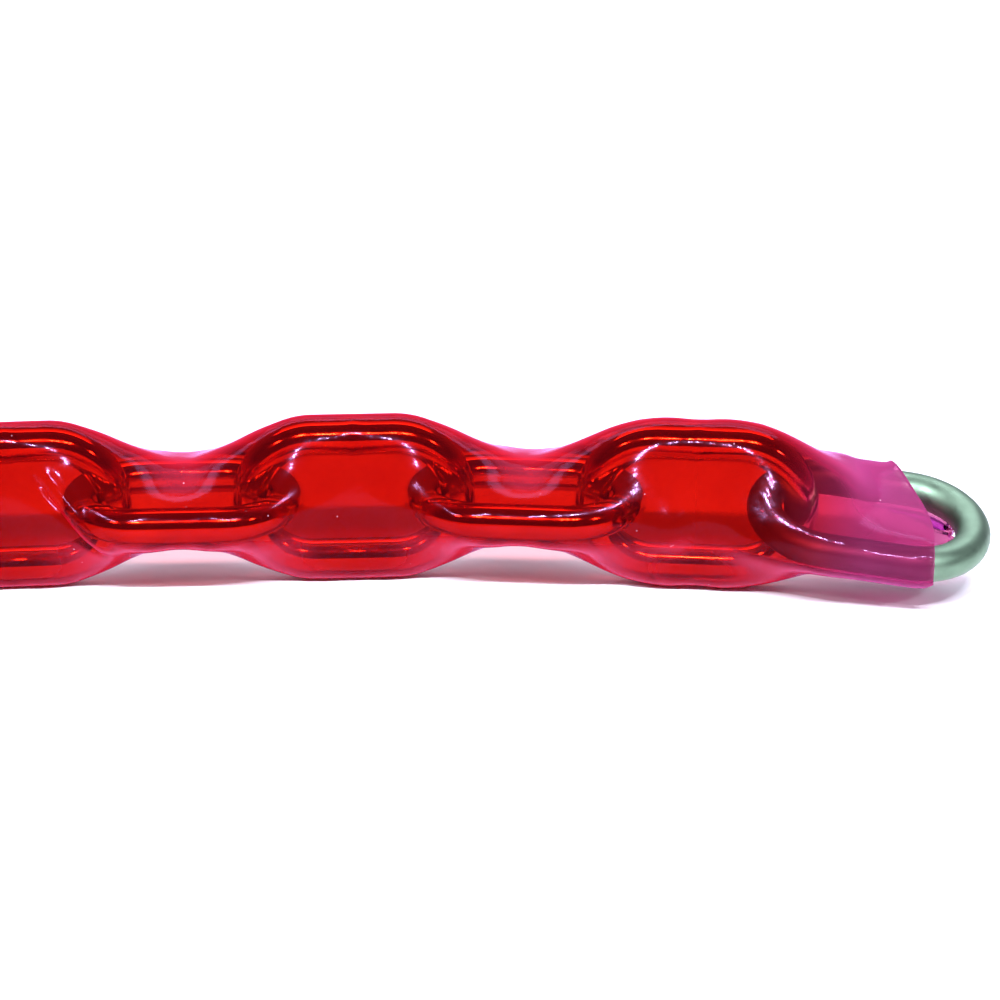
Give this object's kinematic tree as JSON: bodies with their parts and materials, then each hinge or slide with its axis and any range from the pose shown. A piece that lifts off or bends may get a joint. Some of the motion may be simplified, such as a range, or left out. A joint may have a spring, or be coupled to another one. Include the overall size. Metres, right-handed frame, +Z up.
{
  "type": "chain lock",
  "caption": "Steel chain in a clear red plastic sleeve, with a keyed push-in lock on one end and a bare link on the other.",
  "frame": {"origin": "on the surface that the lock stands on, under the middle of the whole", "axes": "+X runs along the lock and roughly along the bowed chain, from the lock to the bare end link, +Y is the far side and +Z is up"},
  "size_m": [0.5602, 0.0524, 0.091],
  "materials": {
    "zinc_steel": "bright zinc plating, faintly green",
    "red_pvc": "glossy, see-through",
    "nickel": "satin",
    "chrome": "polished",
    "brass": "machined",
    "spring_steel": "plain",
    "black_plastic": "fine grain"
  },
  "bodies": {
    "lock": {"lock_case": "nickel", "base_cover": "nickel", "cover_screw_left": "spring_steel", "cover_screw_right": "spring_steel", "anchor_pin": "nickel", "stop_pin": "spring_steel", "bolt_spring": "spring_steel"},
    "plunger": {"plunger": "chrome", "bolt": "chrome"},
    "plug": {"key_plug": "brass", "plug_cam": "brass"},
    "catch": {"catch": "spring_steel"},
    "key": {"key_blade": "nickel", "key_head": "black_plastic"},
    "link_13": {"link_13": "zinc_steel", "sleeve_13": "red_pvc"},
    "link_12": {"link_12": "zinc_steel", "sleeve_12": "red_pvc"},
    "link_11": {"link_11": "zinc_steel", "sleeve_11": "red_pvc"},
    "link_10": {"link_10": "zinc_steel", "sleeve_10": "red_pvc"},
    "link_09": {"link_09": "zinc_steel", "sleeve_09": "red_pvc"},
    "link_08": {"link_08": "zinc_steel", "sleeve_08": "red_pvc"},
    "link_07": {"link_07": "zinc_steel", "sleeve_07": "red_pvc"},
    "link_06": {"link_06": "zinc_steel", "sleeve_06": "red_pvc"},
    "link_05": {"link_05": "zinc_steel", "sleeve_05": "red_pvc"},
    "link_04": {"link_04": "zinc_steel", "sleeve_04": "red_pvc"},
    "link_03": {"link_03": "zinc_steel", "sleeve_03": "red_pvc"},
    "link_02": {"link_02": "zinc_steel", "sleeve_02": "red_pvc"},
    "link_01": {"link_01": "zinc_steel", "sleeve_01": "red_pvc"}
  },
  "joints": [
    {"name": "plunger_push", "type": "slide", "parent": "lock", "child": "plunger", "axis": [0, 0, 1], "range_m": [-0.012, 0], "stiffness_N_per_m": 500, "springref_m": 0.004, "deforming": ["bolt_spring"]},
    {"name": "key_turn", "type": "hinge", "parent": "plunger", "child": "plug", "pos_m": [-0.26612, -0.00023, 0.056], "axis": [0, 0, 1], "range_deg": [0, 90]},
    {"name": "catch_slide", "type": "slide", "parent": "plunger", "child": "catch", "axis": [1, 0, 0], "range_m": [0, 0.00192]},
    {"name": "key_pull", "type": "slide", "parent": "plug", "child": "key", "axis": [0, 0, 1], "range_m": [0, 0.03]},
    {"name": "anchor_swing", "type": "hinge", "parent": "lock", "child": "link_13", "pos_m": [-0.22942, -0.00023, 0.02], "axis": [0, 0, 1], "range_deg": [-8, 8], "stiffness_Nm_per_rad": 0.2, "deforming": ["sleeve_13"]},
    {"name": "chain_bend_12", "type": "hinge", "parent": "link_13", "child": "link_12", "pos_m": [-0.19042, -0.00023, 0.02], "axis": [0, 1, 0], "range_deg": [-30, 30], "stiffness_Nm_per_rad": 0.2, "deforming": ["sleeve_12"]},
    {"name": "chain_bend_11", "type": "hinge", "parent": "link_12", "child": "link_11", "pos_m": [-0.15142, -0.00023, 0.02], "axis": [0, 0, 1], "range_deg": [-30, 30], "stiffness_Nm_per_rad": 0.2, "deforming": ["sleeve_11"]},
    {"name": "chain_bend_10", "type": "hinge", "parent": "link_11", "child": "link_10", "pos_m": [-0.11251, -0.00295, 0.02], "axis": [0.0698, 0.9976, 0], "range_deg": [-30, 30], "stiffness_Nm_per_rad": 0.2, "deforming": ["sleeve_10"]},
    {"name": "chain_bend_09", "type": "hinge", "parent": "link_10", "child": "link_09", "pos_m": [-0.07361, -0.00567, 0.02], "axis": [0, 0, 1], "range_deg": [-30, 30], "stiffness_Nm_per_rad": 0.2, "deforming": ["sleeve_09"]},
    {"name": "chain_bend_08", "type": "hinge", "parent": "link_09", "child": "link_08", "pos_m": [-0.03461, -0.00499, 0.02], "axis": [-0.0175, 0.9998, 0], "range_deg": [-30, 30], "stiffness_Nm_per_rad": 0.2, "deforming": ["sleeve_08"]},
    {"name": "chain_bend_07", "type": "hinge", "parent": "link_08", "child": "link_07", "pos_m": [0.00438, -0.00431, 0.02], "axis": [0, 0, 1], "range_deg": [-30, 30], "stiffness_Nm_per_rad": 0.2, "deforming": ["sleeve_07"]},
    {"name": "chain_bend_06", "type": "hinge", "parent": "link_07", "child": "link_06", "pos_m": [0.04323, -0.00091, 0.02], "axis": [-0.0872, 0.9962, 0], "range_deg": [-30, 30], "stiffness_Nm_per_rad": 0.2, "deforming": ["sleeve_06"]},
    {"name": "chain_bend_05", "type": "hinge", "parent": "link_06", "child": "link_05", "pos_m": [0.08209, 0.00249, 0.02], "axis": [0, 0, 1], "range_deg": [-30, 30], "stiffness_Nm_per_rad": 0.2, "deforming": ["sleeve_05"]},
    {"name": "chain_bend_04", "type": "hinge", "parent": "link_05", "child": "link_04", "pos_m": [0.12103, 0.00453, 0.02], "axis": [-0.0523, 0.9986, 0], "range_deg": [-30, 30], "stiffness_Nm_per_rad": 0.2, "deforming": ["sleeve_04"]},
    {"name": "chain_bend_03", "type": "hinge", "parent": "link_04", "child": "link_03", "pos_m": [0.15998, 0.00657, 0.02], "axis": [0, 0, 1], "range_deg": [-30, 30], "stiffness_Nm_per_rad": 0.2, "deforming": ["sleeve_03"]},
    {"name": "chain_bend_02", "type": "hinge", "parent": "link_03", "child": "link_02", "pos_m": [0.19883, 0.00317, 0.02], "axis": [0.0872, 0.9962, 0], "range_deg": [-30, 30], "stiffness_Nm_per_rad": 0.2, "deforming": ["sleeve_02"]},
    {"name": "chain_bend_01", "type": "hinge", "parent": "link_02", "child": "link_01", "pos_m": [0.23768, -0.00023, 0.02], "axis": [0, 0, 1], "range_deg": [-30, 30], "stiffness_Nm_per_rad": 0.2, "deforming": ["sleeve_01"]}
  ],
  "couplings": [
    {"joint": "catch_slide", "follows": "key_turn", "m_per_rad": 0.0012096}
  ]
}
